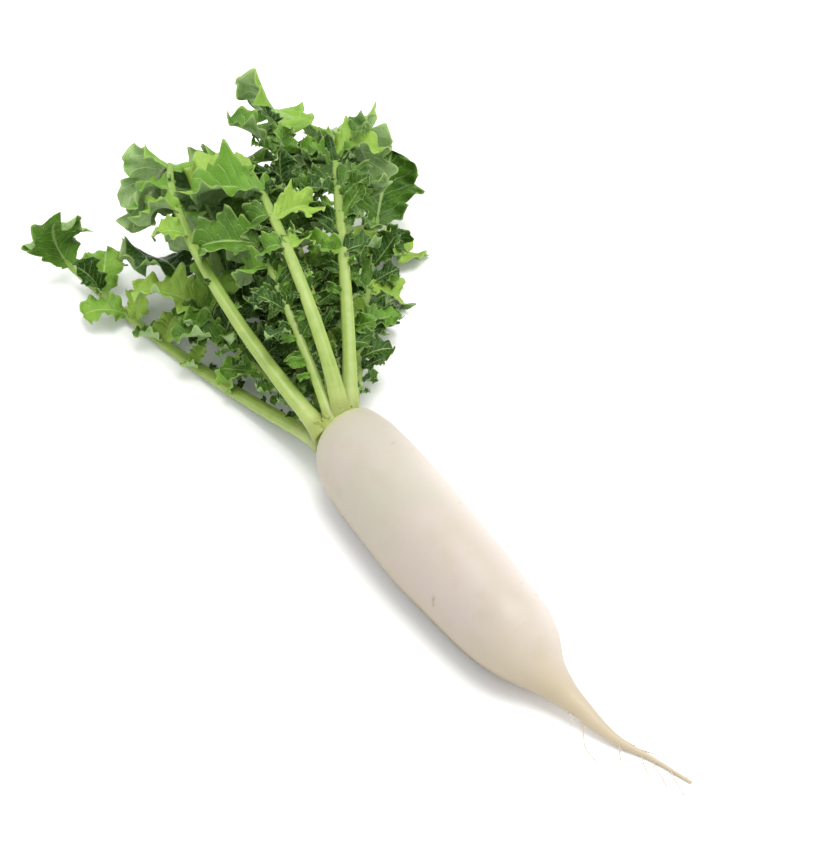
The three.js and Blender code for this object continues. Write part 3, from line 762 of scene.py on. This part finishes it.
def lobe_surface(lobe, u, v):
    """The middle surface of a lobe: bent down along its length, folded at its vein, twisted and ruffled."""
    bend = math.radians(lobe["droop"]) or 1e-6
    a, b = np.cos(bend * u)[..., None], np.sin(bend * u)[..., None]
    forward, upper, radius = lobe["forward"], lobe["upper"], lobe["length"] / bend
    vein = lobe["place"] + forward * (radius * b) - upper * (radius * (1 - a))
    ahead = forward * a - upper * b
    angle = (math.radians(lobe["twist"]) * u)[..., None]
    sideways = lobe["across"] * np.cos(angle) + np.cross(ahead, lobe["across"]) * np.sin(angle)
    above = np.cross(sideways, ahead)
    width = half_width(lobe, u)
    start = np.minimum(1, u * 4)
    phase = lobe["phase"] + np.where(v > 0, OTHER_EDGE, 0.0)
    wave = lobe["ruffle"] * v * v * np.sin(2 * np.pi * lobe["waves"] * u + phase)
    crimp = np.sin(2 * np.pi * (lobe["waves"] * 3.3 * u + 0.6 * v) + 2 * phase)
    crimp = 0.5 * lobe["ruffle"] * np.abs(v) ** 3 * crimp
    stripe = np.abs((u * VEINS - np.abs(v) * VEIN_SLANT) % 1 - 0.5) * 2
    quilt = 0.016 * lobe["length"] * (1 - ease(stripe, 0.45, 1.0))
    quilt = quilt * np.sin(np.pi * np.minimum(np.abs(v) * 1.15, 1))
    fold = math.radians(lobe["fold"])
    lifted = np.sqrt(v * v + 0.0025) - 0.05
    height = lifted * width * math.sin(fold) + (wave + crimp) * start + quilt * start
    surface = vein + sideways * (v * width * math.cos(fold))[..., None] + above * height[..., None]
    lumps = 0.9 * grain(surface, 8.0, lobe["seed"]) + 0.3 * grain(surface, 3.0, lobe["seed"] + 1)
    surface = surface + above * (lumps * start * np.minimum(1, np.abs(v) * 3))[..., None]
    surface[..., 2] = pressed(surface[..., 2])
    return surface


def blade_mesh(lobe):
    """The lobe as a thin closed skin, thicker along its middle vein and thinnest at its edge."""
    rows = lobe["rows"] * lobe["teeth"] + 4
    columns = 2 * lobe["columns"] + 1
    u, v = np.meshgrid(np.linspace(0, 1, rows), np.linspace(-1, 1, columns), indexing="ij")
    v = np.sign(v) * np.abs(v) ** 0.9
    middle = lobe_surface(lobe, u, v)
    normal = unit(np.cross(np.gradient(middle, axis=1), np.gradient(middle, axis=0)))
    width = half_width(lobe, u)
    vein = np.exp(-((v * width / (0.5 + 0.9 * (1 - u))) ** 2)) * (1 - 0.6 * u)
    thick = 0.12 + 0.2 * (1 - np.abs(v) ** 6) * (1 - ease(u, 0.96, 1.0))
    top = middle + normal * (thick - 0.1 * vein)[..., None]
    under = middle - normal * (thick + 0.75 * vein * ease(width, 0.4, 4.0))[..., None]
    top[..., 2] = np.maximum(top[..., 2], TOP_LOWEST)
    under[..., 2] = np.maximum(under[..., 2], UNDER_LOWEST)
    flat = np.vstack([top.reshape(-1, 3), under.reshape(-1, 3)])
    count = rows * columns
    faces = grid_faces(rows, columns).tolist()
    faces += grid_faces(rows, columns, start=count, flip=True).tolist()
    rim = list(range(columns))
    rim += [i * columns + columns - 1 for i in range(1, rows)]
    rim += [(rows - 1) * columns + j for j in range(columns - 2, -1, -1)]
    rim += [i * columns for i in range(rows - 2, 0, -1)]
    for a, b in zip(rim, rim[1:] + rim[:1]):
        faces.append([a, count + a, count + b, b])
    uv = np.stack([u, v / 2 + 0.5], -1).reshape(-1, 2)
    uv = np.vstack([uv, uv])
    side = np.concatenate([np.zeros(count), np.ones(count)])
    tone = np.full(2 * count, lobe["tone"])
    return flat, faces, uv, side, tone


def between(limits, first, second):
    low, high = limits
    return low + (high - low) * chance(first, second)


def side_lobe(leaf, midrib, pair, hand, key):
    share = (pair + between(SIDE_LOBE["shift"], key, 1)) / leaf["pairs"]
    place, forward, upper, side = midrib.frame(leaf["bare"] + (END_LOBE["at"] - leaf["bare"]) * share)
    sweep = math.radians(between(SIDE_LOBE["sweep"], key, 2) - SIDE_LOBE["sweep_loss"] * share)
    lift = math.radians(leaf["lift"] + between(SIDE_LOBE["lift"], key, 3))
    out = forward * math.cos(sweep) + side * (hand * math.sin(sweep))
    axis = unit(np.cross(out, upper))
    out, above = turned(out, axis, lift), turned(upper, axis, lift)
    grown = SIDE_LOBE["first"] + (1 - SIDE_LOBE["first"]) * min(1, share * SIDE_LOBE["growth"])
    length = leaf["lobe"] * grown * between(SIDE_LOBE["length"], key, 4)
    return {
        "place": place, "forward": out, "upper": above, "across": np.cross(out, above),
        "length": length, "half": length * between(SIDE_LOBE["half"], key, 5),
        "teeth": 3 if length > SIDE_LOBE["long"] else 2, "notch": SIDE_LOBE["notch"],
        "droop": leaf["droop"] * between(SIDE_LOBE["droop"], key, 6),
        "fold": between(SIDE_LOBE["fold"], key, 7), "twist": between(SIDE_LOBE["twist"], key, 8),
        "ruffle": length * SIDE_LOBE["ruffle"],
        "waves": SIDE_LOBE["waves"], "phase": between(PHASES, key, 9), "rows": 18, "columns": 10,
        "seed": key, "tone": chance(key, 11),
    }


def end_lobe(leaf, midrib, seed):
    place, forward, upper, side = midrib.frame(END_LOBE["at"])
    length, half = leaf["end"]
    return {
        "place": place, "forward": forward, "upper": upper, "across": -side, "length": length, "half": half,
        "teeth": END_LOBE["teeth"], "notch": END_LOBE["notch"], "droop": leaf["end_droop"],
        "fold": END_LOBE["fold"], "twist": between(END_LOBE["twist"], seed, 5),
        "ruffle": half * END_LOBE["ruffle"], "waves": END_LOBE["waves"], "phase": between(PHASES, seed, 6),
        "rows": 20, "columns": 14, "seed": seed * 7, "tone": chance(seed, 12),
    }


def small_lobe(leaf, midrib, share, longest, hand, t, key):
    """One of the crinkled little lobes along the stalk."""
    place, forward, upper, side = midrib.frame(t)
    place = place + side * (hand * stalk_radius(leaf, t) * 0.7)
    sweep = math.radians(between(SMALL_LOBE["sweep"], key, 2))
    out = forward * math.cos(sweep) + side * (hand * math.sin(sweep))
    out = unit(out + upper * between(SMALL_LOBE["rise"], key, 9))
    across = unit(np.cross(out, upper))
    length = longest * (0.4 + 0.6 * min(1, share * 2)) * between(SMALL_LOBE["length"], key, 3)
    return {
        "place": place, "forward": out, "upper": np.cross(across, out), "across": across, "length": length,
        "half": length * between(SMALL_LOBE["half"], key, 4), "teeth": 2, "notch": SMALL_LOBE["notch"],
        "droop": between(SMALL_LOBE["droop"], key, 5), "fold": SMALL_LOBE["fold"],
        "twist": between(SMALL_LOBE["twist"], key, 6), "ruffle": length * SMALL_LOBE["ruffle"],
        "waves": SMALL_LOBE["waves"], "phase": between(PHASES, key, 7), "rows": 9, "columns": 5,
        "seed": key, "tone": between(SMALL_LOBE["tone"], key, 8),
    }


def lobes_of(leaf, midrib, seed):
    lobes = []
    for pair in range(leaf["pairs"]):
        for hand in (-1, 1):
            lobes.append(side_lobe(leaf, midrib, pair, hand, seed * 31 + pair * 2 + (hand > 0)))
    lobes.append(end_lobe(leaf, midrib, seed))
    count, longest, first, last, hands = SMALL_LOBES[leaf["name"]]
    for n in range(count):
        key = seed * 57 + n
        share = (n + chance(key, 1)) / count
        t = first + (last - first) * share
        lobes.append(small_lobe(leaf, midrib, share, longest, hands[n % 2], t, key))
    return lobes


def make_leaf(leaf, seed, stalk_material, blade_material):
    midrib = Midrib(leaf)
    points, faces, marks = stalk_mesh(leaf, midrib, seed)
    stalk = add_mesh(leaf["name"] + "_stalk", points, faces, stalk_material, leaf["name"], marks)
    points, faces, uv, under, tone = zip(*[blade_mesh(lobe) for lobe in lobes_of(leaf, midrib, seed)])
    starts = np.cumsum([0] + [len(part) for part in points])
    faces = np.vstack([np.array(part) + start for part, start in zip(faces, starts)]).tolist()
    marks = {"under": np.concatenate(under), "tone": np.concatenate(tone)}
    add_mesh(leaf["name"] + "_blades", np.vstack(points), faces, blade_material, leaf["name"], marks,
             np.vstack(uv))
    return stalk


# Fine parts that repeat, made by geometry nodes.

def new_tree(name, sizes):
    """A geometry node tree with named number inputs."""
    tree = bpy.data.node_groups.new(name, "GeometryNodeTree")
    tree.interface.new_socket("Geometry", in_out="INPUT", socket_type="NodeSocketGeometry")
    for label, (kind, value) in sizes.items():
        tree.interface.new_socket(label, in_out="INPUT", socket_type=kind).default_value = value
    tree.interface.new_socket("Geometry", in_out="OUTPUT", socket_type="NodeSocketGeometry")
    return tree, tree.nodes.new("NodeGroupInput"), tree.nodes.new("NodeGroupOutput")


def join(tree, *links):
    """Links from one node's output to another's input."""
    for source, output, target, socket in links:
        tree.links.new(source.outputs[output], target.inputs[socket])


def made_by(tree, source, name, values):
    """The plain mesh that a tree makes of a source object, as a piece. The source object goes."""
    modifier = source.modifiers.new("make", "NODES")
    modifier.node_group = tree
    for item in tree.interface.items_tree:
        if item.item_type == "SOCKET" and item.in_out == "INPUT" and item.name in values:
            modifier[item.identifier] = values[item.name]
    seen = source.evaluated_get(bpy.context.evaluated_depsgraph_get())
    mesh = bpy.data.meshes.new_from_object(seen)
    mesh.name = name
    source.modifiers.remove(modifier)
    bpy.data.objects.remove(source)
    piece = add_object(name, mesh)
    mesh.polygons.foreach_set("use_smooth", [True] * len(mesh.polygons))
    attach(piece, "root")


def hair_tree(material):
    """Round hairs along the edges of the source, as thick as its mark named thick says."""
    tree, given, result = new_tree("hair_roots", {
        "Thickness": ("NodeSocketFloat", 0.0003), "Sides": ("NodeSocketInt", 6),
    })
    add = tree.nodes.new
    curve, width = add("GeometryNodeMeshToCurve"), add("GeometryNodeSetCurveRadius")
    section, sweep = add("GeometryNodeCurvePrimitiveCircle"), add("GeometryNodeCurveToMesh")
    sweep.inputs["Fill Caps"].default_value = True
    thick = add("GeometryNodeInputNamedAttribute")
    thick.data_type = "FLOAT"
    thick.inputs["Name"].default_value = "thick"
    real, paint_it = add("GeometryNodeRealizeInstances"), add("GeometryNodeSetMaterial")
    paint_it.inputs["Material"].default_value = material
    join(
        tree,
        (given, "Geometry", curve, "Mesh"),
        (curve, "Curve", width, "Curve"),
        (thick, "Attribute", width, "Radius"),
        (given, "Thickness", section, "Radius"),
        (given, "Sides", section, "Resolution"),
        (width, "Curve", sweep, "Curve"),
        (section, "Curve", sweep, "Profile Curve"),
        (sweep, "Mesh", real, "Geometry"),
        (real, "Geometry", paint_it, "Geometry"),
        (paint_it, "Geometry", result, "Geometry"),
    )
    return tree


HAIRS, HAIR_STEPS = 11, 16


def make_root_hairs(material):
    """Hair roots along the thin end of the root, lying out to its sides and down onto the surface."""
    points, edges, thick = [], [], []
    for n in range(HAIRS):
        along = 268 + 82 * (n + chance(5, n)) / HAIRS
        turn = math.radians(90 if chance(12, n) > 0.4 else 270) + 0.9 * (chance(6, n) - 0.5)
        radius = float(smooth(ROOT_RADIUS, along))
        spot = root_point(np.array(along), np.array(radius * 0.9), np.array(turn))
        heading = unit([1.1 + 0.8 * chance(7, n), math.sin(turn) * (0.3 + 0.7 * chance(8, n)), -0.2])
        length = 7 + 32 * chance(9, n) ** 1.5
        for k in range(HAIR_STEPS):
            points.append(spot.copy())
            thick.append((1.2 - k / HAIR_STEPS) * (0.45 + 0.5 * chance(10, n)))
            if k:
                edges.append((len(points) - 2, len(points) - 1))
            bend = np.array([chance(n, k) - 0.5, chance(n + 50, k) - 0.5, 0.5 * (chance(n + 90, k) - 0.62)])
            heading = unit(heading + 0.32 * bend + np.array([0.02, 0, -0.09 if spot[2] > 1.5 else 0.05]))
            spot = spot + heading * length / HAIR_STEPS
            spot[2] = max(spot[2], 0.35)
    mesh = bpy.data.meshes.new("hair_lines")
    mesh.from_pydata(placed(points).tolist(), edges, [])
    mesh.attributes.new("thick", "FLOAT", "POINT").data.foreach_set("value", np.array(thick, np.float32))
    values = {"Thickness": 0.0003, "Sides": 6}
    made_by(hair_tree(material), add_object("hair_lines", mesh), "root_hairs", values)


def bristle_tree(material):
    """Short stiff bristles that stand on the source's faces."""
    tree, given, result = new_tree("leaf_bristles", {
        "Density": ("NodeSocketFloat", 6000.0), "Length": ("NodeSocketFloat", 0.001),
        "Thickness": ("NodeSocketFloat", 0.00006), "Seed": ("NodeSocketInt", 4),
    })
    add = tree.nodes.new
    spread, put = add("GeometryNodeDistributePointsOnFaces"), add("GeometryNodeInstanceOnPoints")
    cone, stand = add("GeometryNodeMeshCone"), add("FunctionNodeAlignRotationToVector")
    lean, tilt = add("FunctionNodeRandomValue"), add("ShaderNodeVectorMath")
    size = add("FunctionNodeRandomValue")
    real, paint_it = add("GeometryNodeRealizeInstances"), add("GeometryNodeSetMaterial")
    paint_it.inputs["Material"].default_value = material
    cone.inputs["Vertices"].default_value = 3
    lean.data_type = "FLOAT_VECTOR"
    lean.inputs[0].default_value = (-0.45, -0.45, -0.45)
    lean.inputs[1].default_value = (0.45, 0.45, 0.45)
    size.inputs[2].default_value = 0.45
    size.inputs[3].default_value = 1.0
    stand.axis = "Z"
    join(
        tree,
        (given, "Geometry", spread, "Mesh"),
        (given, "Density", spread, "Density"),
        (given, "Seed", spread, "Seed"),
        (spread, "Normal", tilt, 0),
        (lean, 0, tilt, 1),
        (given, "Seed", lean, "Seed"),
        (tilt, "Vector", stand, "Vector"),
        (given, "Thickness", cone, "Radius Bottom"),
        (given, "Length", cone, "Depth"),
        (spread, "Points", put, "Points"),
        (cone, "Mesh", put, "Instance"),
        (stand, "Rotation", put, "Rotation"),
        (size, 1, put, "Scale"),
        (put, "Instances", real, "Geometry"),
        (real, "Geometry", paint_it, "Geometry"),
        (paint_it, "Geometry", result, "Geometry"),
    )
    return tree


def make_bristles(stalks, material):
    """Bristles on all the stalks, as one piece."""
    points, faces, count = [], [], 0
    for stalk in stalks:
        mesh = stalk.data
        spots = np.zeros(len(mesh.vertices) * 3)
        mesh.vertices.foreach_get("co", spots)
        points.append(spots.reshape(-1, 3))
        faces += [[v + count for v in face.vertices] for face in mesh.polygons]
        count += len(mesh.vertices)
    skin = bpy.data.meshes.new("stalk_skin")
    skin.from_pydata(np.vstack(points).tolist(), [], faces)
    values = {"Density": 90000.0, "Length": 0.0011, "Thickness": 0.00007, "Seed": 4}
    made_by(bristle_tree(material), add_object("stalk_skin", skin), "leaf_bristles", values)


make_root(root_finish())
make_crown(crown_finish())
stalk_material, blade_material = stalk_finish(), blade_finish()
stalks = [make_leaf(leaf, i + 1, stalk_material, blade_material) for i, leaf in enumerate(LEAVES)]
make_root_hairs(hair_finish())
make_bristles(stalks, bristle_finish())


# The floor, the light and the camera.

def make_floor():
    bpy.ops.mesh.primitive_plane_add(size=12, location=(0, 0, 0))
    floor = bpy.context.object
    floor.name = "floor"
    f = Finish("white_floor", Base_Color=(0.93, 0.93, 0.93, 1), Roughness=0.9, Specular_IOR_Level=0.1)
    floor.data.materials.append(f.material)


def add_light(name, place, target, size, power, colour):
    data = bpy.data.lights.new(name, "AREA")
    data.shape, data.size, data.energy, data.color = "DISK", size, power, colour
    light = add_object(name, data)
    light.location = place
    light.rotation_mode = "QUATERNION"
    light.rotation_quaternion = (Vector(target) - Vector(place)).to_track_quat("-Z", "Y")


make_floor()
LIT_SPOT = (0, 0, 0.04)
add_light("window", (0.3, 0.8, 4.1), LIT_SPOT, 3.0, 146, (1.0, 0.99, 0.98))
add_light("fill", (-1.6, -0.9, 1.5), LIT_SPOT, 2.2, 3.5, (0.97, 0.99, 1.0))
world = bpy.context.scene.world = bpy.data.worlds.new("studio")
world.use_nodes = True
background = world.node_tree.nodes["Background"]
background.inputs["Color"].default_value = (1, 1, 1, 1)
background.inputs["Strength"].default_value = 1.1

camera_data = bpy.data.cameras.new("camera")
camera_data.lens, camera_data.sensor_width = CAMERA_LENS, 36
camera_data.clip_start, camera_data.clip_end = 0.05, 40
camera = add_object("camera", camera_data)
a, e = math.radians(CAMERA_AZIMUTH), math.radians(CAMERA_ELEVATION)
back = Vector((math.sin(a) * math.cos(e), -math.cos(a) * math.cos(e), math.sin(e)))
camera.location = Vector(placed(CAMERA_PLACE))
camera.rotation_mode = "QUATERNION"
camera.rotation_quaternion = (-back).to_track_quat("-Z", "Y")
bpy.context.scene.camera = camera
bpy.context.scene.view_settings.view_transform = "Standard"
